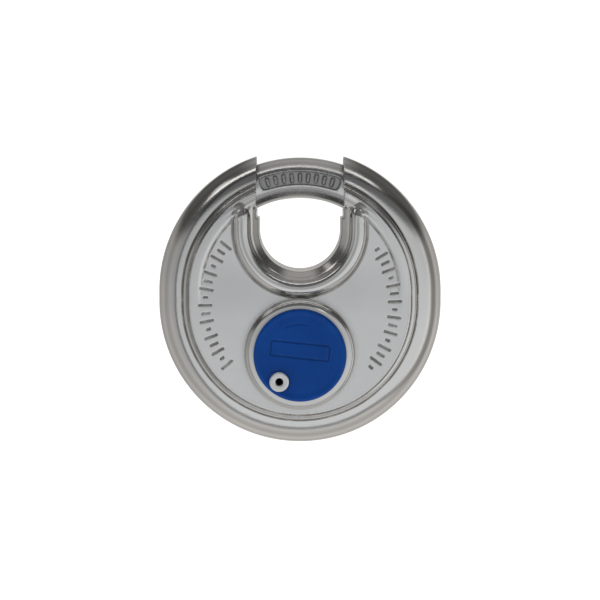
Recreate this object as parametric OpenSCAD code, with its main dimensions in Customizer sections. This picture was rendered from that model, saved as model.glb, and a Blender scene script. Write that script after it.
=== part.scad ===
// Disc padlock: a round welded body, a sliding shackle that a key turns through a small gear,
// a five-pin cylinder, and a round cover that swings aside from the keyway on a tubular rivet.
// Millimetres, +Z up, front towards -Y. The origin is the middle of the shackle bar at its crown.

/* [Body] */
// Outer radius of the rounded rim that the shackle slides in
rim_r = 7.0; // [6.9:0.1:7.3]
// Thickness of the pressed sheet
wall = 1.7; // [1.4:0.1:1.7]
// How far the lower half of the outline sits below the shackle's turning centre
body_drop = 2.7; // [2.4:0.1:3.0]
// Height of the flat face above the weld plane, front and back
face_h = 10.6; // [10.4:0.1:10.8]
// Radius of the flat face
face_r = 26.9; // [26.7:0.1:27.1]
// Radius of the foot of the step round the flat face
step_r = 28.4; // [28.2:0.1:28.6]

/* [Shackle eye] */
// Half width of the eye, and the radius of its round bottom
eye_r = 10.05; // [9.8:0.05:10.3]
// Height of the round bottom's centre above the turning centre
eye_rise = 15.25; // [15.0:0.05:15.5]
// Half width between the two cut ends of the rim
mouth_half = 10.7; // [10.5:0.1:11.0]
// Height above the turning centre at which the wider slot starts
mouth_rise = 18.3; // [18.1:0.1:18.6]
// Height of the raised bead round the eye above the weld plane
bead_h = 12.0; // [11.7:0.1:12.2]

/* [Shackle] */
// Diameter of the shackle bar
bar_d = 10; // [9.6:0.1:10]
// Radius from the turning centre to the middle of the bar
shackle_r = 28; // [28]
// Angle of the free end before the crown, seen from the front
free_end = 34; // [32:1:36]
// Angle of the tail end past the crown
tail_end = 196; // [194:1:198]
// Angle that the shackle turns through to clear the eye
swing = 57; // [56:1:60]

/* [Cylinder] */
// Depth of the cylinder axis below the turning centre
core_drop = 14.7; // [14.7]
// Radius of the polished bezel
bezel_r = 13.6; // [13.5:0.1:13.7]
// Height of the bezel's front above the weld plane
bezel_h = 14.0; // [13.9:0.1:14.2]
// Radius of the turning plug
plug_r = 6.0; // [5.9:0.05:6.0]
// Radial running clearance of the plug in its bore
run_gap = 0.05; // [0.03:0.01:0.08]
// Lengths of the five key pins, front to back
key_pin_l = [4.0, 5.2, 4.6, 5.6, 4.4];
// Distance between pin chambers
pin_pitch = 2.6; // [2.5:0.05:2.6]

/* [Drive gear] */
// Teeth of the shackle's rack, counted as a full ring
ring_teeth = 38; // [38]
// Teeth of the pinion on the plug
pinion_teeth = 16; // [16]
// Play between the teeth at the pitch line
backlash = 0.2; // [0.15:0.05:0.3]

/* [Keyway cover] */
// Radius of the swinging cover
cover_r = 11.25; // [11.1:0.05:11.6]
// Thickness of the cover
cover_t = 2.0; // [1.8:0.1:2.2]
// Place of the rivet from the cylinder axis, sideways and up
rivet_at = [-5.0, -6.3];

/* [Hidden] */
$fn = 72;

bar_r = bar_d / 2;
turn_z = -shackle_r;
body_r = shackle_r + rim_r;

// Rim, face and eye walls
rim_void_r = rim_r - wall;
face_in = face_h - wall;
cup_r = 25.3;
cup_foot = 4;
band_drop = [1.1, 0.55];
bar_room_r = 27.5;
eye_wall_r = 12.0;
eye_flare_r = 12.4;
eye_flare_h = face_h - 2.2;
bead_r = 1.6;
bead_at = 13.75;
arm_l = 3.4;
arm_dive = [7.2, 4.6];

// Cylinder head, barrel and pin tower
head_r = bezel_r - 0.65;
head_h = bezel_h - 0.8;
barrel_r = 11.0;
inside_r = 22.7;
tower_half = 1.9;
tower_h = 12.7;
cap_h = 0.7;
core_back = -0.9;
ear_at = [11.8, 8.4];
ear_r = 2.2;
screw_r = 0.9;

// Pins, counted from the front
pin_r = 1.05;
chamber_r = 1.10;
first_pin = 11.0;
chamber_floor = -1.5;
key_pin_top = 5.9;
driver_foot = plug_r + run_gap;
driver_l = 3.0;
spring_seat = tower_h - cap_h;
coil_r = 0.82;
wire_r = 0.16;
coil_turns = 4;

// Plug, pinion and rear plate along the axis, front positive
plug_front = 12.9;
plug_back = -1.2;
pinion_back = -3.6;
plate_front = -3.9;
plate_back = -5.4;
clip_front = -5.6;
clip_back = -6.2;
tail_r = 3.0;
tail_back = -6.8;
groove_r = 2.4;

// Gear pair: an internal rack on the shackle and an external pinion on the plug
tooth_m = 2 * core_drop / (ring_teeth - pinion_teeth);
ring_pitch_r = tooth_m * ring_teeth / 2;
pinion_pitch_r = tooth_m * pinion_teeth / 2;
pressure = 20;
ring_tip_r = ring_pitch_r - 0.95;
ring_root_r = ring_pitch_r + 1.45;
pinion_tip_r = pinion_pitch_r + 1.1;
pinion_root_r = pinion_pitch_r - 1.25;
rack_gap = 0.3;

// Marked panel on the shackle
panel_angle = 20.4;
panel_w = 3.3;
panel_deep = 0.65;

// Cover, washer and rivet along the axis
cover_back = bezel_h + 0.4;
cover_front = cover_back + cover_t;
rivet_r = 1.6;
rivet_hole_r = 0.83;
rivet_head_r = 2.43;

// Places, in a plane seen from the front: x right, y up, z towards the viewer
module facing() translate([0, 0, turn_z]) rotate([90, 0, 0]) children();
module at_core() facing() translate([0, -core_drop, 0]) children();
module at_rivet() at_core() translate([rivet_at.x, rivet_at.y, 0]) children();
module slab(r, from, to) translate([0, 0, from]) cylinder(r = r, h = to - from);
module block(x0, x1, y0, y1, z0, z1)
    translate([x0, y0, z0]) cube([x1 - x0, y1 - y0, z1 - z0]);
function pin_front(i) = first_pin - pin_pitch * (i - 1);

// A tube of radius r along the rim: two half rings and the short straights between them
module rim_tube(r) {
    rotate_extrude(angle = 180) translate([shackle_r, 0]) circle(r);
    translate([0, -body_drop, 0]) rotate([0, 0, 180])
        rotate_extrude(angle = 180) translate([shackle_r, 0]) circle(r);
    for (side = [-1, 1])
        translate([side * shackle_r, 0, 0]) rotate([90, 0, 0]) cylinder(r = r, h = body_drop);
}

// A U-shaped column of half width r round the eye, open at the top
module eye_column(r, from, to) {
    translate([0, eye_rise, 0]) slab(r, from, to);
    block(-r, r, eye_rise, body_r + 2, from, to);
}

// Material for the eye's wall: a round bottom, and sides that slope down into the rim's crest
module eye_wall() {
    top = face_h - 0.5;
    side = [[eye_rise, 0], [eye_rise, top], [eye_rise + arm_l, top],
        [eye_rise + arm_l + arm_dive.x, top - arm_dive.y], [eye_rise + arm_l + arm_dive.x, 0]];
    translate([0, eye_rise, 0]) slab(eye_wall_r, 0, top);
    translate([-eye_wall_r, 0, 0]) rotate([90, 0, 90])
        linear_extrude(2 * eye_wall_r) polygon(side);
}

// The flared edge of the eye as a solid to take away
module eye_flare() {
    steep = (face_h - eye_flare_h) / (eye_flare_r - eye_r);
    flare = [[0, eye_flare_h], [eye_r, eye_flare_h], [eye_flare_r + 1, face_h + steep],
        [0, face_h + steep]];
    translate([0, eye_rise, 0]) rotate_extrude() polygon(flare);
    for (side = [0, 1])
        mirror([side, 0, 0]) translate([0, body_r + 2, 0]) rotate([90, 0, 0])
            linear_extrude(body_r + 2 - eye_rise) polygon(flare);
}

// The raised bead: a half ring under the eye and two arms that dive into the rim
module eye_bead() {
    bead_z = bead_h - bead_r;
    translate([0, eye_rise, bead_z]) rotate([0, 0, 180])
        rotate_extrude(angle = 180) translate([bead_at, 0]) circle(bead_r);
    for (side = [-1, 1]) translate([side * bead_at, eye_rise, bead_z]) {
        rotate([-90, 0, 0]) cylinder(r = bead_r, h = arm_l);
        translate([0, arm_l, 0]) sphere(bead_r);
        translate([0, arm_l, 0]) rotate([-90 - atan(arm_dive.y / arm_dive.x), 0, 0])
            cylinder(r = bead_r, h = norm(arm_dive));
    }
}

// One pressed half of the body, without the cylinder's hole
module half_shell() {
    cup = [[0, face_in], [cup_r, face_in], [cup_r, cup_foot], [step_r, cup_foot],
        [step_r, face_h - band_drop[0]], [face_r + 0.3, face_h - band_drop[1]], [face_r, face_h],
        [0, face_h]];
    difference() {
        union() {
            difference() {
                rim_tube(rim_r);
                block(-body_r - 1, body_r + 1, -body_r - 5, body_r + 1, -rim_r - 1, 0);
            }
            translate([0, -body_drop, 0]) rotate([0, 0, 97]) rotate_extrude() polygon(cup);
            rotate([0, 0, 83]) rotate_extrude() polygon(cup);
            eye_wall();
            eye_bead();
        }
        difference() {
            union() {
                translate([0, -body_drop, 0]) rotate([0, 0, 97]) slab(cup_r, -1, face_in);
                rotate([0, 0, 83]) slab(cup_r, -1, face_in);
            }
            eye_column(eye_wall_r, -2, face_h);
        }
        // Room for the shackle, whose circle runs higher than the lower rim's; the eye's wall
        // goes on to the weld plane inside the shackle's inner edge
        difference() {
            translate([0, -body_drop, 0]) rotate([0, 0, 97]) slab(bar_room_r, -1, bar_r + 0.2);
            intersection() {
                eye_column(eye_wall_r, -2, bar_r + 1);
                slab(inside_r, -2, bar_r + 1);
            }
        }
        rim_tube(rim_void_r);
        eye_column(eye_r, -1, bead_h + 1);
        eye_flare();
        block(-mouth_half, mouth_half, mouth_rise, body_r + 3, -1, bead_h + 1);
    }
}

module front_shell() color("lightgray") facing() difference() {
    half_shell();
    translate([0, -core_drop, 0]) slab(barrel_r + run_gap, face_in - 1, face_h + 1);
    translate([0, -core_drop, 0])
        block(-tower_half - 0.1, tower_half + 0.1, 0, tower_h + 0.1, face_in - 1, face_h + 1);
}

module rear_shell() color("lightgray") mirror([0, 1, 0]) facing() half_shell();

// Pocket for the cylinder in the cast frame: barrel, pin tower, ears and pinion
module core_pocket() translate([0, -core_drop, 0]) {
    slab(pinion_tip_r + 0.4, -face_h, face_h);
    block(-tower_half - 0.2, tower_half + 0.2, 0, tower_h + 0.2, -face_h, face_h);
    for (side = [-1, 1]) {
        translate([side * ear_at.x, ear_at.y, 0]) slab(ear_r + 0.2, -face_h, face_h);
        block(min(side * ear_at.x, 0), max(side * ear_at.x, 0),
            ear_at.y - ear_r - 0.2, ear_at.y + ear_r + 0.2, -face_h, face_h);
    }
}

module inner_frame() color("dimgray") facing() difference() {
    slab(inside_r, -face_in, face_in);
    eye_column(eye_wall_r + 0.1, -face_h, face_h);
    core_pocket();
}

// Everything of the cylinder that stays inside the shackle's inner edge
module within_shackle(from, to) translate([0, core_drop, 0]) slab(inside_r - 0.1, from, to);

module core_housing() color("silver") at_core() difference() {
    union() {
        slab(head_r - 0.05, face_h + 0.05, head_h);
        slab(barrel_r, bar_r + 0.25, face_h + 0.05);
        intersection() {
            slab(barrel_r, core_back, bar_r + 0.25);
            within_shackle(core_back, bar_r + 0.25);
        }
        block(-tower_half, tower_half, plug_r, tower_h, core_back, head_h - 0.1);
        for (side = [-1, 1]) {
            translate([side * ear_at.x, ear_at.y, 0]) slab(ear_r, plate_front, bar_r);
            block(min(side * ear_at.x, 0), max(side * ear_at.x, 0),
                ear_at.y - 1.8, ear_at.y + 1.8, core_back, bar_r);
        }
    }
    slab(plug_r + run_gap, core_back - 1, head_h + 1);
    for (i = [1:5])
        translate([0, 0, pin_front(i)]) rotate([-90, 0, 0]) cylinder(r = chamber_r, h = tower_h + 1);
    block(-1.3, 1.3, spring_seat, tower_h + 1, core_back + 0.2, head_h - 0.5);
    for (side = [-1, 1]) {
        translate([side * ear_at.x, ear_at.y, 0]) slab(screw_r, plate_front - 1, 1.5);
        translate([side * 8.6, 1.5, 0]) slab(0.8, face_h - 1.5, head_h + 1);
    }
    translate([rivet_at.x, rivet_at.y, 0]) slab(rivet_r, face_h - 1, head_h + 1);
}

module chamber_cap() color("goldenrod") at_core()
    block(-1.3, 1.3, spring_seat, tower_h, core_back + 0.2, head_h - 0.5);

module drill_guard_pins() color("slategray") at_core() for (side = [-1, 1])
    translate([side * 8.6, 1.5, 0]) slab(0.8, face_h - 1.5, head_h);

// Polished cup over the cylinder head, with rounded edge, keyway window and rivet hole
module core_bezel() color("gainsboro") at_core() difference() {
    round_r = 1.2;
    rotate_extrude() union() {
        square([bezel_r - round_r, bezel_h]);
        square([bezel_r, bezel_h - round_r]);
        translate([bezel_r - round_r, bezel_h - round_r]) circle(round_r);
    }
    slab(head_r, -1, head_h);
    slab(bezel_r + 1, -1, face_h);
    slab(plug_r + 0.4, head_h - 1, bezel_h + 1);
    translate([rivet_at.x, rivet_at.y, 0]) slab(rivet_r, head_h - 1, bezel_h + 1);
}

module rear_bearing_plate() color("silver") at_core() difference() {
    union() {
        intersection() {
            slab(9.4, plate_back, plate_front);
            within_shackle(plate_back, plate_front);
        }
        for (side = [-1, 1])
            translate([side * ear_at.x, ear_at.y, 0]) slab(ear_r, plate_back, plate_front);
        block(-ear_at.x, ear_at.x, ear_at.y - 1.8, ear_at.y + 1.8, plate_back, plate_front);
    }
    slab(tail_r + run_gap, plate_back - 1, plate_front + 1);
    for (side = [-1, 1])
        translate([side * ear_at.x, ear_at.y, 0]) slab(screw_r, plate_back - 1, plate_front + 1);
}

module core_screws() color("gray") at_core() for (side = [-1, 1])
    translate([side * ear_at.x, ear_at.y, 0]) difference() {
        union() {
            slab(screw_r, plate_back, 1.3);
            slab(1.6, plate_back - 1.0, plate_back);
        }
        block(-2, 2, -0.25, 0.25, plate_back - 2, plate_back - 0.5);
    }

// Profile of the keyway, with one ward on each side
module keyway() polygon([
    [-1.2, -4.2], [0.4, -4.2], [0.4, -1.6], [1.2, -1.6],
    [1.2, 0.6], [0.4, 0.6], [0.4, 3.6], [-1.2, 3.6]
]);

module plug() color("goldenrod") at_core() difference() {
    union() {
        slab(plug_r, plug_back, plug_front);
        slab(tail_r, tail_back, plug_back);
    }
    linear_extrude(plug_front + 1) keyway();
    for (i = [1:5])
        translate([0, chamber_floor, pin_front(i)]) rotate([-90, 0, 0])
            cylinder(r = chamber_r, h = plug_r + 3);
    difference() {
        slab(tail_r + 1, clip_back, clip_front);
        slab(groove_r, clip_back - 1, clip_front + 1);
    }
}

module plug_face_plate() color("silver") at_core() difference() {
    slab(plug_r - 0.05, plug_front, bezel_h - 0.3);
    translate([0, 0, plug_front - 1]) linear_extrude(3) keyway();
}

module plug_clip() color("slategray") at_core() difference() {
    slab(4.2, clip_back, clip_front);
    slab(groove_r, clip_back - 1, clip_front + 1);
    block(-1.6, 1.6, 0, 5, clip_back - 1, clip_front + 1);
}

// Polar angle of an involute at radius r from base radius b, and a tooth's half angle there
function inv(b, r) = let(t = sqrt(max(0, pow(r / b, 2) - 1))) t * 180 / PI - atan(t);
function half_angle(p, r, play) =
    let(b = p * cos(pressure))
    90 * tooth_m / (2 * p) - play / 2 / p * 180 / PI + inv(b, p) - inv(b, max(r, b));
function polar(r, a) = [r * cos(a), r * sin(a)];

// One tooth outline about angle 0, from radius r0 to r1 on pitch radius p
function tooth(p, r0, r1, play) = let(n = 5) concat(
    [for (i = [0:n]) let(r = r0 + (r1 - r0) * i / n) polar(r, -half_angle(p, r, play))],
    [for (i = [n:-1:0]) let(r = r0 + (r1 - r0) * i / n) polar(r, half_angle(p, r, play))]
);

module drive_pinion() color("darkgoldenrod") at_core() difference() {
    union() {
        slab(pinion_root_r, pinion_back, plug_back);
        for (i = [0:pinion_teeth - 1])
            rotate([0, 0, 270 + i * 360 / pinion_teeth]) translate([0, 0, pinion_back])
                linear_extrude(plug_back - pinion_back)
                    polygon(tooth(pinion_pitch_r, pinion_root_r - 0.5, pinion_tip_r, backlash));
    }
    slab(tail_r, pinion_back - 1, plug_back + 1);
}

// Key pins lie with their tops at the plug's surface, as the right key holds them
module key_pin(i) color("orange") at_core() {
    tip = 0.6;
    foot = key_pin_top - key_pin_l[i - 1];
    translate([0, foot, pin_front(i)]) rotate([-90, 0, 0]) {
        cylinder(r1 = 0.45, r2 = pin_r, h = tip);
        translate([0, 0, tip]) cylinder(r = pin_r, h = key_pin_l[i - 1] - tip);
    }
}

module driver_pin(i) color("silver") at_core()
    translate([0, driver_foot, pin_front(i)]) rotate([-90, 0, 0])
        cylinder(r = pin_r, h = driver_l);

// Coil spring swept along a helix, standing on a driver pin
module pin_spring(i) color("lightslategray") at_core() {
    sides = 6;
    rings = coil_turns * 12;
    rise = spring_seat - driver_foot - driver_l - 2 * wire_r;
    points = [for (k = [0:rings], j = [0:sides - 1])
        let(a = 30 * k, b = 360 * j / sides, r = coil_r + wire_r * cos(b))
        [r * cos(a), r * sin(a), wire_r + rise * k / rings + wire_r * sin(b)]];
    skin = [for (k = [0:rings - 1], j = [0:sides - 1])
        let(j2 = (j + 1) % sides)
        [k * sides + j, k * sides + j2, (k + 1) * sides + j2, (k + 1) * sides + j]];
    ends = [[for (j = [sides - 1:-1:0]) j], [for (j = [0:sides - 1]) rings * sides + j]];
    translate([0, driver_foot + driver_l, pin_front(i)]) rotate([-90, 0, 0])
        polyhedron(points, concat(skin, ends));
}

// Shackle at rest: a round bar bent to an arc, with a rack of internal teeth and a marked panel
module shackle() color("silver") facing() {
    nose = 0.8;
    nose_angle = nose / shackle_r * 180 / PI;
    start = 90 - free_end + nose_angle;
    stop = 90 + tail_end;
    pitch_angle = 360 / ring_teeth;
    rack_start = 182;
    difference() {
        union() {
            rotate([0, 0, start]) rotate_extrude(angle = stop - start)
                translate([shackle_r, 0]) circle(bar_r);
            rotate([0, 0, start]) translate([shackle_r, 0, 0]) rotate([90, 0, 0])
                cylinder(r1 = bar_r, r2 = bar_r - nose, h = nose);
        }
        rotate([0, 0, rack_start]) rotate_extrude(angle = stop + 2 - rack_start)
            translate([inside_r - 2, pinion_back - rack_gap])
                square([ring_tip_r - inside_r + 2, plug_back - pinion_back + 2 * rack_gap]);
        for (k = [-9:1])
            rotate([0, 0, 270 + k * pitch_angle]) translate([0, 0, pinion_back - rack_gap])
                linear_extrude(plug_back - pinion_back + 2 * rack_gap)
                    polygon(tooth(ring_pitch_r, ring_tip_r - 0.3, ring_root_r, 0));
        rotate([0, 0, 90 - panel_angle]) rotate_extrude(angle = 2 * panel_angle)
            translate([shackle_r - panel_w / 2, bar_r - panel_deep]) square([panel_w, 2]);
    }
    for (i = [-4:4])
        rotate([0, 0, i * panel_angle / 5])
            block(-0.35, 0.35, shackle_r - 1.0, shackle_r + 1.0,
                bar_r - panel_deep - 0.1, bar_r - panel_deep + 0.25);
}
module keyway_cover() color("mediumblue") at_core() difference() {
    round_r = 0.9;
    union() {
        rotate_extrude() difference() {
            union() {
                translate([0, cover_back]) square([cover_r - round_r, cover_t]);
                translate([0, cover_back]) square([cover_r, cover_t - round_r]);
                translate([cover_r - round_r, cover_front - round_r]) circle(round_r);
            }
            translate([-cover_r, 0]) square([cover_r, cover_front + 1]);
        }
    }
    translate([rivet_at.x, rivet_at.y, 0]) slab(rivet_r + run_gap, cover_back - 1, cover_front + 1);
    // Plain rectangular line pressed into the front
    translate([0, 1.2, cover_front - 0.2]) rotate([0, 0, -6]) difference() {
        block(-7.2, 7.2, -1.9, 1.9, 0, 1);
        block(-6.8, 6.8, -1.5, 1.5, -1, 2);
    }
}

module cover_washer() color("whitesmoke") at_rivet() difference() {
    slab(3.0, bezel_h, cover_back - 0.05);
    slab(rivet_r, bezel_h - 1, cover_back + 1);
}

module cover_rivet() color("white") at_rivet() difference() {
    lip = 0.35;
    union() {
        slab(rivet_r, face_h - 1, cover_front + 0.05);
        slab(rivet_head_r, cover_front + 0.05, cover_front + 0.5);
        translate([0, 0, cover_front + 0.5])
            cylinder(r1 = rivet_head_r, r2 = rivet_head_r - lip, h = lip);
    }
    slab(rivet_hole_r, face_h - 0.5, cover_front + 2);
}

front_shell();
rear_shell();
inner_frame();
core_housing();
core_bezel();
chamber_cap();
drill_guard_pins();
rear_bearing_plate();
core_screws();
plug();
plug_face_plate();
drive_pinion();
plug_clip();
key_pin(1);  // key_pin_1
key_pin(2);  // key_pin_2
key_pin(3);  // key_pin_3
key_pin(4);  // key_pin_4
key_pin(5);  // key_pin_5
driver_pin(1);  // driver_pin_1
driver_pin(2);  // driver_pin_2
driver_pin(3);  // driver_pin_3
driver_pin(4);  // driver_pin_4
driver_pin(5);  // driver_pin_5
pin_spring(1);  // pin_spring_1
pin_spring(2);  // pin_spring_2
pin_spring(3);  // pin_spring_3
pin_spring(4);  // pin_spring_4
pin_spring(5);  // pin_spring_5
shackle();
keyway_cover();
cover_washer();
cover_rivet();
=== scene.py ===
"""Disc padlock, visual model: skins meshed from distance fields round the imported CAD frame.

Every skin is one function of a point that is negative inside the metal. mesh_of turns it into a mesh,
and joined and common round the edges where two surfaces meet. Lengths are millimetres, except for the stage.
"""
import math

import bpy
import numpy as np
import openvdb as vdb
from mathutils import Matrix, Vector


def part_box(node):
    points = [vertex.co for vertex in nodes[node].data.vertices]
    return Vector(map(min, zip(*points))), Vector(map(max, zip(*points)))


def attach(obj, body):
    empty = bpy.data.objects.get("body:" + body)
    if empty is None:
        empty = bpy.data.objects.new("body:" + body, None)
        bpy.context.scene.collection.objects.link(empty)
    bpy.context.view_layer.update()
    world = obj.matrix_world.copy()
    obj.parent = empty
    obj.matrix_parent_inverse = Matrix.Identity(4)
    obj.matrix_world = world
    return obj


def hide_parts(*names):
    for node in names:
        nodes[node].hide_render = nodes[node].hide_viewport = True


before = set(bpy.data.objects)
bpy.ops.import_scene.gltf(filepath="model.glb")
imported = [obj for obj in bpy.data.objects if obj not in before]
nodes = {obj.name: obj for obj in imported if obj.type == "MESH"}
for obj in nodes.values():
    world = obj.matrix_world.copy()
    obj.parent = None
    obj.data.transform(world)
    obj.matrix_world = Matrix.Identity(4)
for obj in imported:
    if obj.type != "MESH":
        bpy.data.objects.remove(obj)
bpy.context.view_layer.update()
scene = bpy.context.scene

# ---------------------------------------------------------------- places, in millimetres
# Front-plane coordinates: X right, Y up from the shackle's turning centre, F to the viewer


def mm(node):
    """Low and high corner of a CAD node's box, in the row frame's axes."""
    low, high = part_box(node)
    return [c * 1000 for c in low], [c * 1000 for c in high]


_, sh_high = mm("shackle")
bz_low, bz_high = mm("core_bezel")
cv_low, cv_high = mm("keyway_cover")
rv_low, rv_high = mm("cover_rivet")
fs_low, fs_high = mm("front_shell")
BAR = 5.0  # the bar's radius
ARC = 28.0  # radius of the arc that the bar and the rim follow
TURN_Z = sh_high[2] - BAR - ARC
CORE = ((bz_low[0] + bz_high[0]) / 2, (bz_low[2] + bz_high[2]) / 2 - TURN_Z)
RIVET = ((rv_low[0] + rv_high[0]) / 2, (rv_low[2] + rv_high[2]) / 2 - TURN_Z)
BEZEL_R = (bz_high[0] - bz_low[0]) / 2
BEZEL_H = -bz_low[1]
COVER_R = (cv_high[0] - cv_low[0]) / 2
COVER_BACK, COVER_FRONT = -cv_high[1], -cv_low[1]
RIVET_TOP = -rv_low[1]
RIM = (fs_high[0] - fs_low[0]) / 2 - ARC  # the rim tube's radius
DROP = -(fs_low[2] - TURN_Z) - ARC - RIM  # how far the rim's lower centre lies under the upper one
WALL = 1.7
FACE = 10.6  # height of the flat face over the weld plane

EYE_Y = 15.25  # centre of the eye's round bottom
EYE_R = 10.05
EYE_WALL_R = 12.0
MOUTH_HALF = 10.7  # the gap between the rim ends, left and right of the middle
MOUTH_Y = 18.3  # where the eye widens into that gap

SHOULDER_R = 27.0  # edge of the raised plate at face height, a slope of 0.28 in 0.96
BAND_R = 28.35  # outer edge of the step between plate and rim
BAND_F = 9.5
CUP_R = 25.3
ROOM_R, ROOM_F = 27.5, 5.2

BEAD_AT, BEAD_R, BEAD_F = 14.15, 2.0, 9.95
BEAD_END_Y = 19.4  # from here up the bead dives into the shoulder
BEAD_END = (16.6, 20.6)

MARK_R = 23.1  # the stamped bars' middle circle
MARK_HALVES = (1.4, 0.8, 1.4, 0.3)
CORE_HOLE_R = 11.05
RIVET_HOLE_R, SHANK_R = 1.65, 1.6


# ---------------------------------------------------------------- distance-field tools
def joined(a, b, r):
    """Union with a fillet of radius r."""
    return np.maximum(r, np.minimum(a, b)) - np.hypot(np.maximum(r - a, 0), np.maximum(r - b, 0))


def common(a, b, r):
    """Intersection with a rounded edge of radius r."""
    return -joined(-a, -b, r)


def step(low, high, v):
    """Smooth 0 to 1 as v goes from low to high."""
    t = np.clip((v - low) / (high - low), 0, 1)
    return t * t * (3 - 2 * t)


def gradient(f, p, e):
    """Slope of f at the points p, and its Laplacian: below 0 in hollows, above 0 on edges."""
    g, lap = np.empty_like(p), -6 * f(*p.T)
    for k in range(3):
        a, b = p.copy(), p.copy()
        a[:, k] += e
        b[:, k] -= e
        fa, fb = f(*a.T), f(*b.T)
        g[:, k] = (fa - fb) / (2 * e)
        lap += fa + fb
    return g, lap / e**2


def mesh_of(name, f, low, high, h, body, stands_for, slot, material, marks=None, thin=None):
    """A watertight mesh of f = 0, with normals from the field and values at its points for painted shade, wear and
    finish.
    """
    low, high = np.array(low, float), np.array(high, float)
    n = np.ceil((high - low) / h).astype(int) + 1
    ax = [low[k] + h * np.arange(n[k]) for k in range(3)]
    values = np.empty(n, np.float32)
    for i in range(0, n[0], 24):
        x, y, z = np.meshgrid(ax[0][i:i + 24], ax[1], ax[2], indexing="ij")
        values[i:i + 24] = f(x.astype(np.float32), y.astype(np.float32), z.astype(np.float32))
    grid = vdb.FloatGrid(3 * h)
    grid.copyFromArray(np.clip(values, -3 * h, 3 * h))
    points, quads = grid.convertToQuads(0)
    p = low + np.asarray(points, float) * h
    for _ in range(4):
        g, _ = gradient(f, p, 0.02)
        s = f(*p.T) / np.maximum((g**2).sum(1), 0.2)
        p -= np.clip(s, -0.6 * h, 0.6 * h)[:, None] * g
    q = np.asarray(quads, np.int64)
    a, b, c, d = (p[q[:, k]] for k in range(4))
    volume = (np.cross(b - a, c - a) * a).sum() + (np.cross(c - a, d - a) * a).sum()
    if volume < 0:
        q = q[:, ::-1]
    o = new_object(name, p, q)
    if thin:
        thin_out(o, thin[0](*p.T), thin[1])
    finish_mesh(o.data, f, marks)
    o.data.materials.clear()
    o.data.materials.append(material)
    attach(o, body)
    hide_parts(*stands_for)


def new_object(name, p, q):
    """An object with points p, carried into the row frame in metres, and four-sided faces q."""
    mesh = bpy.data.meshes.new(name)
    mesh.vertices.add(len(p))
    mesh.loops.add(q.size)
    mesh.polygons.add(len(q))
    to_row = np.stack([p[:, 0], -p[:, 2], p[:, 1] + TURN_Z], 1) / 1000
    mesh.vertices.foreach_set("co", to_row.ravel())
    mesh.loops.foreach_set("vertex_index", q.ravel().astype(np.int32))
    mesh.polygons.foreach_set("loop_start", np.arange(0, q.size, 4, dtype=np.int32))
    mesh.update(calc_edges=True)
    mesh.validate()
    o = bpy.data.objects.new(name, mesh)
    scene.collection.objects.link(o)
    return o


def thin_out(o, weight, ratio):
    """Thins the mesh to a share of its faces, where weight is 1."""
    group = o.vertex_groups.new(name="thin")
    group.add([int(i) for i in np.nonzero(weight > 0.5)[0]], 1.0, "REPLACE")
    mod = o.modifiers.new("thin", "DECIMATE")
    mod.ratio = ratio
    mod.vertex_group = "thin"
    mod.vertex_group_factor = 1000
    bpy.context.view_layer.update()
    thick = o.data
    thinned = bpy.data.meshes.new_from_object(o.evaluated_get(bpy.context.evaluated_depsgraph_get()))
    o.modifiers.clear()
    o.vertex_groups.clear()
    o.data = thinned
    bpy.data.meshes.remove(thick)
    thinned.name = o.name


def finish_mesh(mesh, f, marks):
    """Smooth normals from the field, and the values that the materials read at each point."""
    co = np.empty(len(mesh.vertices) * 3)
    mesh.vertices.foreach_get("co", co)
    co = co.reshape(-1, 3) * 1000
    p = np.stack([co[:, 0], co[:, 2] - TURN_Z, -co[:, 1]], 1)
    g, _ = gradient(f, p, 0.03)
    _, lap = gradient(f, p, 0.3)
    g /= np.maximum(np.linalg.norm(g, axis=1), 1e-6)[:, None]
    normals = np.stack([g[:, 0], -g[:, 2], g[:, 1]], 1)
    mesh.polygons.foreach_set("use_smooth", np.ones(len(mesh.polygons), bool))
    mesh.normals_split_custom_set_from_vertices([tuple(v) for v in normals])
    # hollow brings on painted shade with dirt in the materials; edge brings on paler edges, wear with a painted
    # highlight
    values = {"hollow": np.clip(-lap / 2.0, 0, 1), "edge": np.clip((lap - 0.8) / 3.0, 0, 1)}
    for key, fn in (marks or {}).items():
        values[key] = fn(*p.T)
    for key, v in values.items():
        at = mesh.attributes.new(key, "FLOAT", "POINT")
        at.data.foreach_set("value", np.asarray(v, np.float32))


# ---------------------------------------------------------------- materials
class Nodes:
    """Short names for building a node tree."""

    def __init__(self, tree):
        self.tree = tree

    def add(self, kind, ins=None, **props):
        node = self.tree.nodes.new(kind)
        for k, v in props.items():
            setattr(node, k, v)
        for k, v in (ins or {}).items():
            if isinstance(v, bpy.types.NodeSocket):
                self.tree.links.new(v, node.inputs[k])
            else:
                node.inputs[k].default_value = v
        return node

    def math(self, op, a, b=0.0, c=0.0, clamp=False):
        return self.add("ShaderNodeMath", {0: a, 1: b, 2: c}, operation=op, use_clamp=clamp).outputs[0]

    def ramp(self, v, low, high, to_low=0.0, to_high=1.0):
        return self.add("ShaderNodeMapRange", {"Value": v, "From Min": low, "From Max": high,
                        "To Min": to_low, "To Max": to_high}, interpolation_type="SMOOTHSTEP").outputs["Result"]

    def mix(self, t, a, b):
        node = self.tree.nodes.new("ShaderNodeMix")
        node.data_type = "RGBA"
        for i, v in ((0, t), (6, a), (7, b)):
            if isinstance(v, bpy.types.NodeSocket):
                self.tree.links.new(v, node.inputs[i])
            else:
                node.inputs[i].default_value = v
        return node.outputs[2]

    def noise(self, scale, detail=3.0, rough=0.5, stretch=None, vector=None):
        if vector is None:
            vector = self.add("ShaderNodeTexCoord").outputs["Object"]
        if stretch:
            vector = self.add("ShaderNodeMapping", {"Vector": vector, "Scale": stretch}).outputs[0]
        return self.add("ShaderNodeTexNoise", {"Vector": vector, "Scale": scale, "Detail": detail,
                        "Roughness": rough}).outputs["Fac"]

    def attribute(self, name):
        return self.add("ShaderNodeAttribute", attribute_name=name).outputs["Fac"]


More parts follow.
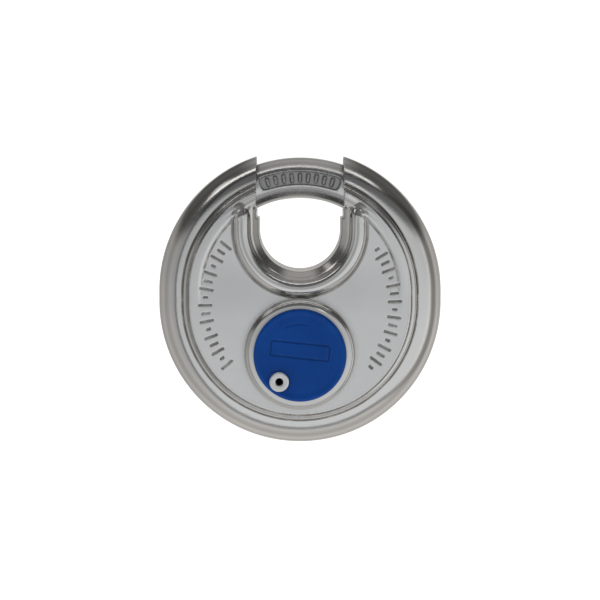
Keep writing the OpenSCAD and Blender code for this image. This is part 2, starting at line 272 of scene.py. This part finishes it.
def material(name, build):
    m = bpy.data.materials.new(name)
    m.use_nodes = True
    m.node_tree.nodes.clear()
    n = Nodes(m.node_tree)
    shader = n.add("ShaderNodeBsdfPrincipled")
    out = n.add("ShaderNodeOutputMaterial")
    m.node_tree.links.new(shader.outputs[0], out.inputs["Surface"])
    build(n, shader, m.node_tree.links)
    return m


def scratches(n, density, width, angle, seed):
    """Thin straight scratches along one direction, broken up by noise: 1 on a scratch."""
    at = n.add("ShaderNodeTexCoord").outputs["Object"]
    turned = n.add("ShaderNodeMapping", {"Vector": at, "Rotation": (0.3, angle, 0.2),
                   "Scale": (density * 0.05, density, density)}).outputs[0]
    cells = n.add("ShaderNodeTexVoronoi", {"Vector": turned, "Scale": 1.0, "Randomness": 1.0},
                  feature="DISTANCE_TO_EDGE").outputs["Distance"]
    line = n.ramp(cells, width, 0.0)
    patch = n.ramp(n.noise(90 + seed, 2.0), 0.5, 0.66)
    return n.math("MULTIPLY", line, patch)


def metal(name, color, dark, rough, rough_spread, grain, grain_scale, scratch=0.5,
          hollow_shade=0.6, stretch=(1, 1, 1), polish=None, coarse=0.0, coarse_scale=900.0):
    """Worn metal: clouded colour, painted shade with dirt in hollows, scratches and grain.

    polish is a roughness change, the mesh value that brings it on, and the colour there; on the rivet it carries
    painted shade in the hole.
    """
    def build(n, shader, links):
        cloud = n.noise(70, 3.0)
        fine = n.noise(grain_scale, 3.0, 0.6, stretch)
        tint = n.mix(n.ramp(cloud, 0.35, 0.7), (*dark, 1), (*color, 1))
        if polish:
            tint = n.mix(n.attribute(polish[1]), tint, (*polish[2], 1))
        hollow = n.attribute("hollow")
        # painted shade with dirt: the hollows are darkened, in patches broken up by noise
        shade_and_dirt = n.math("MULTIPLY", n.ramp(hollow, 0.10, 0.6), n.ramp(n.noise(260, 4.0), 0.1, 0.6))
        shade_and_dirt = n.math("MULTIPLY", shade_and_dirt, hollow_shade)
        tint = n.mix(shade_and_dirt, tint, (color[0] * 0.22, color[1] * 0.2, color[2] * 0.18, 1))
        links.new(tint, shader.inputs["Base Color"])
        shader.inputs["Metallic"].default_value = 1.0
        scr = n.math("MAXIMUM", scratches(n, 900, 0.05, 0.5, 3), scratches(n, 700, 0.04, 1.9, 17))
        r = n.math("MULTIPLY_ADD", n.ramp(cloud, 0.3, 0.7), rough_spread, rough - rough_spread / 2)
        r = n.math("MULTIPLY_ADD", fine, rough_spread * 0.7, r)
        if polish:
            r = n.math("MULTIPLY_ADD", n.attribute(polish[1]), polish[0], r)
        r = n.math("MULTIPLY_ADD", scr, 0.12 * scratch, r)
        r = n.math("MULTIPLY_ADD", shade_and_dirt, 0.3, r, clamp=True)
        links.new(r, shader.inputs["Roughness"])
        height = n.math("MULTIPLY", fine, grain)
        height = n.math("MULTIPLY_ADD", scr, -grain * 0.6 * scratch, height)
        if coarse:
            height = n.math("MULTIPLY_ADD", n.noise(coarse_scale, 5.0, 0.6), coarse, height)
        bump = n.add("ShaderNodeBump", {"Height": height, "Distance": 0.001, "Strength": 1.0})
        links.new(bump.outputs[0], shader.inputs["Normal"])
    return material(name, build)


M = {
    "body": metal("stainless_body", (0.86, 0.865, 0.87), (0.82, 0.825, 0.83), 0.40, 0.05, 0.010, 5200,
                  scratch=0.6, stretch=(0.25, 1, 1), polish=(-0.31, "polish", (0.66, 0.66, 0.655)),
                  hollow_shade=0.75),
    "shackle": metal("stainless_shackle", (0.63, 0.63, 0.635), (0.57, 0.57, 0.575), 0.17, 0.05, 0.006, 4200,
                     scratch=0.8, polish=(0.24, "panel", (0.36, 0.36, 0.365)),
                     coarse=0.012, coarse_scale=2600, hollow_shade=0.4),
    "bezel": metal("polished_bezel", (0.62, 0.62, 0.615), (0.58, 0.58, 0.575), 0.06, 0.03, 0.002, 6000,
                   scratch=0.5),
    "cast": metal("cast_insert", (0.30, 0.30, 0.305), (0.22, 0.22, 0.225), 0.55, 0.1, 0.03, 3500,
                  coarse=0.05, coarse_scale=1400),
    "nickel": metal("nickel_core", (0.64, 0.63, 0.60), (0.56, 0.55, 0.52), 0.28, 0.06, 0.01, 5000),
    "brass": metal("turned_brass", (0.78, 0.58, 0.26), (0.66, 0.46, 0.19), 0.26, 0.08, 0.01, 5200),
    "hard": metal("hardened_steel", (0.42, 0.43, 0.45), (0.33, 0.34, 0.36), 0.3, 0.08, 0.01, 5200),
    # the rivet's hole is painted near black: painted shade
    "rivet": metal("rivet_metal", (0.86, 0.87, 0.88), (0.78, 0.79, 0.8), 0.3, 0.08, 0.01, 6000,
                   hollow_shade=0.9, polish=(0.3, "hole_shade", (0.006, 0.006, 0.008))),
}


def blue(n, shader, links):
    """Moulded blue plastic, paler along its edges from rubbing wear and a painted highlight, with painted shade in
    its hollows.
    """
    cloud = n.noise(120, 3.0)
    tint = n.mix(n.ramp(cloud, 0.3, 0.7), (0.0004, 0.035, 0.185, 1), (0.0008, 0.042, 0.22, 1))
    # painted highlight with rubbing wear: the convex edges are painted paler blue
    rub_and_highlight = n.math("MULTIPLY", n.attribute("edge"), n.ramp(n.noise(520, 4.0), 0.35, 0.7))
    tint = n.mix(n.math("MULTIPLY", rub_and_highlight, 0.35), tint, (0.03, 0.11, 0.34, 1))
    # painted shade: the cover's hollows are darkened
    shade_and_dirt = n.math("MULTIPLY", n.attribute("hollow"), 0.5)
    tint = n.mix(shade_and_dirt, tint, (0.001, 0.012, 0.07, 1))
    links.new(tint, shader.inputs["Base Color"])
    r = n.math("MULTIPLY_ADD", n.noise(900, 4.0), 0.16, 0.24)
    scr = scratches(n, 800, 0.035, 0.9, 7)
    links.new(n.math("MULTIPLY_ADD", scr, 0.18, r), shader.inputs["Roughness"])
    height = n.math("MULTIPLY", n.noise(2600, 3.0), 0.010)
    height = n.math("MULTIPLY_ADD", scr, -0.006, height)
    bump = n.add("ShaderNodeBump", {"Height": height, "Distance": 0.001, "Strength": 1.0})
    links.new(bump.outputs[0], shader.inputs["Normal"])
    shader.inputs["IOR"].default_value = 1.49
    shader.inputs["Specular IOR Level"].default_value = 0.12


def pale_plastic(n, shader, links):
    tint = n.mix(n.ramp(n.noise(300, 3.0), 0.3, 0.7), (0.74, 0.74, 0.71, 1), (0.83, 0.83, 0.81, 1))
    links.new(tint, shader.inputs["Base Color"])
    links.new(n.math("MULTIPLY_ADD", n.noise(1500, 3.0), 0.2, 0.4), shader.inputs["Roughness"])
    bump = n.add("ShaderNodeBump", {"Height": n.math("MULTIPLY", n.noise(3000), 0.01), "Distance": 0.001})
    links.new(bump.outputs[0], shader.inputs["Normal"])


M["cover"] = material("blue_cover", blue)
M["washer"] = material("pale_washer", pale_plastic)


# ---------------------------------------------------------------- body shells
def eye_radius(x, y):
    """Distance from the eye's middle: round at the bottom, straight sides above."""
    return np.hypot(x, np.minimum(y - EYE_Y, 0))


def stadium(x, y):
    """Distance from the middle of the outline: two half circles with short straights between."""
    return np.hypot(x, y - np.clip(y, -DROP, 0))


def face_top(rho, y):
    """Height of the flat face, a little lower inside a soft shoulder in the upper corners."""
    corner = step(-6.0, 8.0, y)
    return FACE - corner * (0.55 * step(25.0, 23.9, rho) + 0.3 * step(25.2, 27.4, rho))


def plate_side(rho, f):
    """The raised plate's sloping side."""
    return (rho - SHOULDER_R) * 0.96 + (f - FACE) * 0.28


def eye_bead(rho, re, y, f):
    """Round bead along the eye, which dives into the shoulder at its upper ends."""
    s = y - BEAD_END_Y
    centre = BEAD_F - 0.36 * (s + np.sqrt(s * s + 1.6))
    side = re - BEAD_AT
    bead = np.hypot(np.where(side > 0, side * 0.96, side), f - centre) - BEAD_R
    return common(bead, plate_side(rho, f), 0.6)


def half_body(x, y, f):
    """Outer skin of one pressed half, before the eye and the inside are taken away."""
    rho = stadium(x, y)
    rim = np.hypot(rho - ARC, f) - RIM
    inner = common(f - face_top(rho, y), plate_side(rho, f), 0.22)
    # the step's sloping top, cut away inside the plate so that no two faces nearly meet
    band = BAND_F + 0.4074 * np.clip(BAND_R - rho, -1, 1.3) - 2.5 * step(26.7, 25.7, rho)
    edge = common((rho - BAND_R) * 0.985 + (f - BAND_F) * 0.17, (f - band) * 0.93, 0.4)
    plate = joined(inner, edge, 0.12)
    bead = eye_bead(rho, eye_radius(x, y), y, f)
    # faint draw marks where the bead runs out into the shoulder
    near = np.exp(-((np.abs(x) - 16.2) ** 2 + (y - 19.6) ** 2) / 5.0)
    marks = 0.045 * near * np.sin(rho * 4.6 + 0.5 * y)
    return joined(joined(plate, bead, 0.5) + marks, rim, 0.3)


def strokes():
    """Ends of the plain stamped bars: 17 down each side of the face, long and short in a fixed rhythm."""
    made = []
    for first, last, count, turn in ((139, 222, 17, 0), (-44, 38, 17, 3)):
        for i in range(count):
            a = math.radians(first + (last - first) * (i + 0.5) / count)
            half = MARK_HALVES[(i + turn) % 4]
            r0, r1 = MARK_R - half, MARK_R + half
            u = (math.cos(a), math.sin(a))
            made.append((u[0] * r0, u[1] * r0 - DROP, u[0] * r1, u[1] * r1 - DROP))
    return made


STROKES = strokes()


def stamped(x, y, f):
    """Distance to the stamped bars, each a narrow round-bottomed dent."""
    near = np.full_like(x, 9.0)
    rb = np.hypot(x, y + DROP)
    band = (rb > 20.4) & (rb < 25.8) & (f > FACE - 1.5) & (np.abs(x) > 12)
    if not band.any():
        return near
    px, py, pf = x[band], y[band], f[band]
    best = np.full_like(px, 9.0)
    for x0, y0, x1, y1 in STROKES:
        dx, dy = x1 - x0, y1 - y0
        t = np.clip(((px - x0) * dx + (py - y0) * dy) / (dx * dx + dy * dy), 0, 1)
        np.minimum(best, np.hypot(px - x0 - t * dx, py - y0 - t * dy), out=best)
    top = face_top(stadium(px, py), py)
    near[band] = np.hypot(best, pf - top - 0.12) - 0.38
    return near


def inside_void(x, y, f):
    """The hollow of one half: the rim's tube, the room for the shackle and the cup under the face."""
    rho, re = stadium(x, y), eye_radius(x, y)
    tube = np.hypot(rho - ARC, f) - (RIM - WALL)
    room = np.maximum(np.hypot(x, y + DROP) - ROOM_R, f - ROOM_F)
    eye_wall = np.maximum(re - EYE_WALL_R, np.hypot(x, y) - 22.7)
    room = np.maximum(room, -eye_wall)
    cup = common(common(rho - CUP_R, f - FACE + WALL, 0.6), EYE_WALL_R - re, 0.6)
    return np.minimum(np.minimum(tube, room), cup)


def shell(x, y, f, front):
    """One pressed half; the front one has the cylinder's hole and the stamped bars."""
    re = eye_radius(x, y)
    # the bead's inner slope down to the eye, in two planes
    flare = joined((f - 8.4) * 0.730 - (re - EYE_R) * 0.683,
                   (f - 10.25) * 0.406 - (re - EYE_WALL_R) * 0.914, 0.25)
    solid = common(half_body(x, y, f), joined(flare, 21.0 - y, 0.5), 0.3)
    solid = common(solid, -inside_void(x, y, f), 0.15)
    eye = joined(re - EYE_R, np.maximum(np.abs(x) - MOUTH_HALF, MOUTH_Y - y), 0.15)
    solid = common(solid, -eye, 0.22)
    if front:
        cx, cy = x - CORE[0], y - CORE[1]
        tower = np.maximum(np.abs(cx) - 2.0, np.abs(cy - 6.4) - 6.4)
        hole = np.minimum(np.hypot(cx, cy) - CORE_HOLE_R, tower)
        solid = common(solid, -hole, 0.1)
        solid = common(solid, -stamped(x, y, f), 0.12)
    return common(solid, 0.004 - f, 0.12)


def polish(x, y, f):
    """1 on the drawn and polished rim and bead, 0 on the satin face."""
    re = eye_radius(x, y)
    bead = step(2.9, 2.3, np.abs(re - 14.1))
    bright = np.maximum(np.maximum(step(26.3, 27.2, stadium(x, y)), bead), step(13.0, 12.0, re))
    dull = np.exp(-((np.abs(x) - BEAD_END[0]) ** 2 + (y - BEAD_END[1]) ** 2) / 7.0)
    return bright * (1 - 0.85 * dull)


def hidden(x, y, f):
    """1 on the inside of the shells, which only shows at the mouths."""
    re = eye_radius(x, y)
    rho = stadium(x, y)
    in_tube = (np.hypot(rho - ARC, f) < RIM - 1.2) & ((rho > 24) | (f < 5.6))
    in_cup = (rho < 25.8) & (f < FACE - 1.4) & (re > 11.4)
    return ((in_tube | in_cup) & ~((y > 14) & (np.abs(x) < 17))).astype(float)


def front_shell(x, y, f):
    return shell(x, y, f, True)


def rear_shell(x, y, f):
    return shell(x, y, -f, False)


def hidden_rear(x, y, f):
    return hidden(x, y, -f)


COARSER = 1
SHELL_CELL = 0.25 * COARSER
LEFT, RIGHT, BOTTOM, TOP, OUT, PAST = -35.8, 35.8, -38.5, 34.6, 12.8, 0.6
INNER_SHARE = 0.62  # of the inner skin's faces, which stay
mesh_of("body_front", front_shell, (LEFT, BOTTOM, -PAST), (RIGHT, TOP, OUT), SHELL_CELL, "lock_body",
        ["front_shell"], "body_steel", M["body"], {"polish": polish}, (hidden, INNER_SHARE))
mesh_of("body_rear", rear_shell, (LEFT, BOTTOM, -OUT), (RIGHT, TOP, PAST), SHELL_CELL, "lock_body",
        ["rear_shell"], "body_steel", M["body"], {"polish": polish}, (hidden_rear, INNER_SHARE))

# ---------------------------------------------------------------- shackle
A0, A1 = math.radians(90 - 34), math.radians(90 + 196)  # free end and tail
RING_TEETH, PINION_TEETH = 38, 16
TOOTH_M = 2 * 14.7 / (RING_TEETH - PINION_TEETH)  # 14.7 between the two centres
RING = TOOTH_M * RING_TEETH / 2
PITCH = 2 * math.pi / RING_TEETH
PANEL = math.radians(20.4)  # half the marked panel's angle


def shackle(x, y, f):
    """The bent bar with its rack of teeth and its panel of plain ribs."""
    rho = np.hypot(x, y)
    theta = np.mod(np.arctan2(y, x), 2 * math.pi)
    bar = np.hypot(rho - ARC, f) - BAR
    early, late = (A0 - theta) * ARC, (theta - A1) * ARC
    nose = (bar + early + 0.8) * 0.7071
    bar = common(common(common(bar, early, 0.3), nose, 0.3), late, 0.3)
    # rack groove and tooth spaces, on the hidden part
    in_slot = np.abs(f + 2.4) - 1.5
    groove = np.maximum(np.maximum(rho - (RING - 0.95), in_slot), (math.radians(182) - theta) * ARC)
    k = np.round((theta - 1.5 * math.pi) / PITCH)
    a = np.abs(theta - 1.5 * math.pi - np.clip(k, -9, 1) * PITCH) * rho
    width = 0.5 * math.pi / 2 * TOOTH_M - (rho - RING) * 0.36
    space = np.maximum(np.maximum((a - width) * 0.93, rho - (RING + 1.45)), np.maximum(in_slot, RING - 1.4 - rho))
    bar = common(bar, -np.minimum(groove, space), 0.08)
    # recessed panel with rounded ends, and plain raised ribs in it
    along = (np.abs(theta - math.pi / 2) - PANEL) * ARC
    q0, q1 = along + 1.2, np.abs(rho - ARC) - 1.65 + 1.2
    flat = np.hypot(np.maximum(q0, 0), np.maximum(q1, 0)) + np.minimum(np.maximum(q0, q1), 0) - 1.2
    panel = common(flat, BAR - 0.65 - f, 0.2)
    bar = common(bar, -panel, 0.2)
    rib_k = np.clip(np.round((theta - math.pi / 2) / (PANEL / 5)), -4, 4)
    ra = np.abs(theta - math.pi / 2 - rib_k * PANEL / 5) * ARC
    rib = np.maximum(np.hypot(np.maximum(ra - 0.1, 0), np.maximum(np.abs(rho - ARC) - 0.75, 0)) - 0.28,
                     np.abs(f - BAR + 0.75) - 0.4)
    return joined(bar, rib, 0.15)


def panel_mark(x, y, f):
    """1 on the recessed panel, which is duller than the bar."""
    theta = np.arctan2(y, x)
    inside = step(0.5, -0.4, (np.abs(theta - math.pi / 2) - PANEL) * ARC)
    return inside * step(1.9, 1.5, np.abs(np.hypot(x, y) - ARC)) * step(BAR - 0.6, BAR - 0.2, f + 0.35) * (f > 4)


mesh_of("shackle_bar", shackle, (-34, -34, -6), (29, 34, 6), SHELL_CELL, "shackle", ["shackle"], "shackle_steel",
        M["shackle"], {"panel": panel_mark})


# ---------------------------------------------------------------- bezel, cover, washer, rivet
def off(centre, x, y):
    return np.hypot(x - centre[0], y - centre[1])


def bezel(x, y, f):
    """Polished cup over the cylinder's head, its front slightly domed."""
    rc, rr = off(CORE, x, y), off(RIVET, x, y)
    cup = common(rc - BEZEL_R, f - BEZEL_H + 0.13 * np.maximum(rc - 11.0, 0) ** 2
                 + 0.1 * step(12.55, 12.8, rc), 0.8)
    cup = common(cup, -np.maximum(rc - 12.95, f - BEZEL_H + 0.8), 0.1)
    cup = common(cup, 6.4 - rc, 0.12)
    cup = common(cup, SHANK_R - rr, 0.08)
    return np.maximum(cup, FACE - 0.25 - f)


def cover(x, y, f):
    """Blue disc, shallowly dished, with a plain rectangle and a plain arc pressed into its front."""
    dx, dy = x - CORE[0], y - CORE[1]
    rc, rr = np.hypot(dx, dy), off(RIVET, x, y)
    disc = common(rc - COVER_R, f - COVER_FRONT + 0.25 * step(11.6, 9.3, rc), 0.9)
    disc = common(disc, COVER_BACK - f, 0.25)
    disc = common(disc, RIVET_HOLE_R - rr, 0.12)
    t = math.radians(-6)
    u = dx * math.cos(t) + (dy - 1.2) * math.sin(t)
    v = -dx * math.sin(t) + (dy - 1.2) * math.cos(t)
    q0, q1 = np.abs(u) - 6.6, np.abs(v) - 1.3
    box = np.hypot(np.maximum(q0, 0), np.maximum(q1, 0)) + np.minimum(np.maximum(q0, q1), 0) - 0.5
    line = np.hypot(box, f - COVER_FRONT + 0.25 - 0.12) - 0.3
    turn = np.arctan2(dy - 1.2, dx)
    along = np.hypot(rc - 7.6, np.maximum(np.abs(turn - 1.7) - 0.42, 0) * 7.6)
    arc = np.hypot(along, f - COVER_FRONT + 0.25 - 0.2) - 0.3
    return common(common(disc, -line, 0.1), -arc, 0.1)


def washer(x, y, f):
    rr = off(RIVET, x, y)
    return common(common(common(rr - 3.0, f - COVER_BACK + 0.05, 0.1), BEZEL_H - f, 0.1), SHANK_R - rr, 0.05)


def rivet(x, y, f):
    """Tubular rivet with a rolled head."""
    rr = off(RIVET, x, y)
    stem = common(rr - SHANK_R, FACE - 1.0 - f, 0.1)
    roll = np.hypot(np.maximum(np.abs(rr - 1.62) - 0.33, 0),
                    np.maximum(RIVET_TOP - 0.48 - f, 0) + np.maximum(f - RIVET_TOP + 0.48, 0)) - 0.48
    head = common(roll, COVER_FRONT + 0.05 - f, 0.1)
    both = joined(np.maximum(stem, f - RIVET_TOP + 0.2), head, 0.1)
    return common(both, -np.maximum(rr - 0.83, FACE - 0.5 - f), 0.25)


def rivet_shaded_hole(x, y, f):
    """1 down in the rivet's hole, where painted shade makes it near black."""
    return step(1.15, 0.95, off(RIVET, x, y)) * step(RIVET_TOP - 0.15, RIVET_TOP - 0.55, f)


def around(centre, r, f0, f1):
    """Corners of the box to mesh: r to each side of a centre, from height f0 to f1."""
    return (centre[0] - r, centre[1] - r, f0), (centre[0] + r, centre[1] + r, f1)


mesh_of("bezel_ring", bezel, *around(CORE, 14.2, FACE - 0.9, BEZEL_H + 0.6), 0.17 * COARSER,
        "lock_body", ["core_bezel"], "bezel_steel", M["bezel"])
mesh_of("cover_disc", cover, *around(CORE, 12.0, COVER_BACK - 0.5, COVER_FRONT + 0.5), 0.14 * COARSER,
        "cover", ["keyway_cover"], "cover_plastic", M["cover"])
mesh_of("slip_washer", washer, *around(RIVET, 3.4, BEZEL_H - 0.4, COVER_BACK + 0.4), 0.1 * COARSER,
        "lock_body", ["cover_washer"], "washer_plastic", M["washer"])
# the rivet's hole carries a value for painted shade, near black
mesh_of("tube_rivet", rivet, *around(RIVET, 2.9, FACE - 1.4, RIVET_TOP + 0.4), 0.09 * COARSER,
        "lock_body", ["cover_rivet"], "rivet_metal", M["rivet"], {"hole_shade": rivet_shaded_hole})

# ---------------------------------------------------------------- CAD nodes that stay
FINISH = {"inner_frame": "cast", "core_housing": "nickel", "chamber_cap": "brass", "drill_guard_pins": "hard",
          "rear_bearing_plate": "nickel", "core_screws": "hard", "plug": "brass", "plug_face_plate": "nickel",
          "drive_pinion": "brass", "plug_clip": "hard"}
for i in range(1, 6):
    FINISH[f"key_pin_{i}"] = "brass"
    FINISH[f"driver_pin_{i}"] = "nickel"
    FINISH[f"pin_spring_{i}"] = "hard"
for name, key in FINISH.items():
    nodes[name].data.materials.clear()
    nodes[name].data.materials.append(M[key])

# ---------------------------------------------------------------- stage, light and camera
FLOOR_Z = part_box("front_shell")[0].z - 0.0002


def white(name, strength):
    """White paint that also gives off light, so that the floor stays pale."""
    m = bpy.data.materials.new(name)
    m.use_nodes = True
    shader = m.node_tree.nodes["Principled BSDF"]
    shader.inputs["Base Color"].default_value = (0.9, 0.9, 0.9, 1)
    shader.inputs["Roughness"].default_value = 0.9
    shader.inputs["Emission Color"].default_value = (1, 1, 1, 1)
    shader.inputs["Emission Strength"].default_value = strength
    return m


def disc(name, radius, z, paint):
    """A round flat piece of the stage."""
    corners = 96
    turns = [2 * math.pi * i / corners for i in range(corners)]
    mesh = bpy.data.meshes.new(name)
    mesh.from_pydata([(radius * math.cos(t), radius * math.sin(t), z) for t in turns], [], [tuple(range(corners))])
    mesh.materials.append(paint)
    o = bpy.data.objects.new(name, mesh)
    scene.collection.objects.link(o)
    return o


floor = disc("floor", 3.0, FLOOR_Z, white("floor_paint", 0.95))
floor.visible_glossy = False

# Surroundings, as bands round the direction that the face looks in: phi is the angle off it in degrees
# and aside runs from -1 on the left to 1 on the right
world = bpy.data.worlds.new("studio")
scene.world = world
world.use_nodes = True
world.node_tree.nodes.clear()
w = Nodes(world.node_tree)
direction = w.add("ShaderNodeTexCoord").outputs["Generated"]
xyz = w.add("ShaderNodeSeparateXYZ", {0: direction})
dx, dy, dz = (xyz.outputs[k] for k in range(3))
front = w.math("MULTIPLY", dy, -1.0)


def patch(cx, cf, cz, size, soft):
    """1 inside a round patch of the surroundings about a direction, size and soft edge in degrees."""
    length = math.sqrt(cx * cx + cf * cf + cz * cz)
    dot = w.math("MULTIPLY_ADD", dx, cx / length, w.math("MULTIPLY_ADD", front, cf / length,
                 w.math("MULTIPLY", dz, cz / length)))
    return w.ramp(dot, math.cos(math.radians(size + soft)), math.cos(math.radians(size)))


phi = w.math("MULTIPLY", w.math("ARCCOSINE", front), 180 / math.pi)
sine_squared = w.math("MULTIPLY_ADD", front, w.math("MULTIPLY", front, -1.0), 1.0)
aside = w.math("DIVIDE", dx, w.math("SQRT", w.math("MAXIMUM", sine_squared, 1e-4)))
rightness = w.ramp(aside, 0.5, 0.96)
leftness = w.ramp(aside, -0.4, -0.95)
# the bands lie further out on the right and a little further in on the left
past = w.math("MAXIMUM", w.math("ADD", phi, -27.0), 0.0)
wide = w.math("MULTIPLY_ADD", rightness, 1.1, w.math("MULTIPLY_ADD", leftness, -0.35, 1.0))
bent = w.math("ADD", w.math("MINIMUM", phi, 27.0), w.math("DIVIDE", past, wide))
# dim middle, bright ring, dark ring, then soft ripples to the sides
level = w.ramp(bent, 8.0, 24.0, 0.50, 0.78)
level = w.math("MULTIPLY", level, w.math("MULTIPLY_ADD", leftness, -0.14, 1.0))
level = w.math("MULTIPLY_ADD", w.ramp(bent, 49.0, 53.0), -0.44, level)
level = w.math("MULTIPLY_ADD", w.ramp(bent, 60.0, 68.0), 0.24, level)
ripple = w.math("COSINE", w.math("MULTIPLY", w.math("ADD", phi, -70.0), 2 * math.pi / 46))
ripple = w.math("MULTIPLY", ripple, w.ramp(phi, 55.0, 70.0))
level = w.math("MULTIPLY", level, w.math("MULTIPLY_ADD", ripple, 0.14, 1.0))
# dark overhead, with a bright strip lamp in it
middle = w.ramp(w.math("ABSOLUTE", aside), 0.5, 0.25)
behind = w.math("MULTIPLY", middle, w.ramp(front, 0.3, 0.15))
level = w.math("MULTIPLY", level, w.ramp(dz, -0.30, 0.25, 1.06, 0.84))
above = w.math("MULTIPLY", w.ramp(dz, 0.26, 0.46), w.math("MULTIPLY_ADD", behind, -0.85, 1.0))
level = w.math("MULTIPLY", level, w.math("MULTIPLY_ADD", above, -0.76, 1.0))
strip = w.math("MULTIPLY", w.ramp(front, 0.24, 0.30), w.ramp(front, 0.45, 0.39))
ends = w.math("MULTIPLY", w.ramp(aside, -0.8, -0.68), w.ramp(aside, 0.66, 0.56))
strip = w.math("MULTIPLY", strip, ends)
strip = w.math("MULTIPLY", strip, w.ramp(dz, 0.3, 0.5))
level = w.math("MULTIPLY_ADD", strip, 1.25, level)
for *place, gain in ((0.22, 0.90, 0.37, 1.5, 2.5, 0.8), (-0.62, 0.18, 0.76, 3, 4, 0.6)):
    level = w.math("MULTIPLY_ADD", patch(*place), gain, level)
warm = w.mix(w.ramp(front, 0.2, 0.7), (1.0, 0.965, 0.92, 1), (0.985, 0.995, 1.0, 1))
sky = w.add("ShaderNodeBackground", {"Color": warm, "Strength": level})
world_out = w.add("ShaderNodeOutputWorld")
world.node_tree.links.new(sky.outputs[0], world_out.inputs["Surface"])


def dome(radius):
    """A white surround that only the camera sees: it neither lights nor reflects."""
    m = bpy.data.materials.new("backdrop_paint")
    m.use_nodes = True
    m.node_tree.nodes.clear()
    n = Nodes(m.node_tree)
    light = n.add("ShaderNodeEmission", {"Color": (1, 1, 1, 1), "Strength": 1.05})
    out = n.add("ShaderNodeOutputMaterial")
    m.node_tree.links.new(light.outputs[0], out.inputs["Surface"])
    rings, parts = 24, 48
    verts = []
    for i in range(1, rings):
        out_by, up = radius * math.sin(math.pi * i / rings), radius * math.cos(math.pi * i / rings)
        for j in range(parts):
            verts.append((out_by * math.cos(2 * math.pi * j / parts), out_by * math.sin(2 * math.pi * j / parts), up))
    faces = []
    for i in range(rings - 2):
        for j in range(parts):
            k = (j + 1) % parts
            faces.append((i * parts + j, i * parts + k, (i + 1) * parts + k, (i + 1) * parts + j))
    faces += [tuple(range(parts)), tuple(reversed(range((rings - 2) * parts, (rings - 1) * parts)))]
    mesh = bpy.data.meshes.new("backdrop")
    mesh.from_pydata(verts, [], faces)
    mesh.materials.append(m)
    o = bpy.data.objects.new("backdrop", mesh)
    scene.collection.objects.link(o)
    for kind in ("glossy", "diffuse", "shadow", "transmission", "volume_scatter"):
        setattr(o, "visible_" + kind, False)


dome(4.0)

sun = bpy.data.lights.new("key_light", "AREA")
sun.shape, sun.size, sun.size_y, sun.energy = "RECTANGLE", 0.5, 0.35, 2.0
key = bpy.data.objects.new("key_light", sun)
key.location = (-0.35, -0.75, 0.6)
key.rotation_euler = (Vector((0, 0, -0.03)) - key.location).to_track_quat("-Z", "Y").to_euler()
key.visible_glossy = False
scene.collection.objects.link(key)

camera = bpy.data.cameras.new("camera")
cam = bpy.data.objects.new("camera", camera)
scene.collection.objects.link(cam)
aim, distance, tilt = Vector((0, 0, -0.03036)), 0.50, math.radians(4)
VIEW_WIDTH = 0.14925  # metres across the picture at the aim
cam.location = aim + Vector((0, -math.cos(tilt), math.sin(tilt))) * distance
cam.rotation_euler = (aim - cam.location).to_track_quat("-Z", "Y").to_euler()
camera.sensor_width = 36
camera.lens = camera.sensor_width * distance / VIEW_WIDTH
camera.clip_start, camera.clip_end = 0.01, 20
scene.camera = cam
scene.view_settings.view_transform = "Standard"
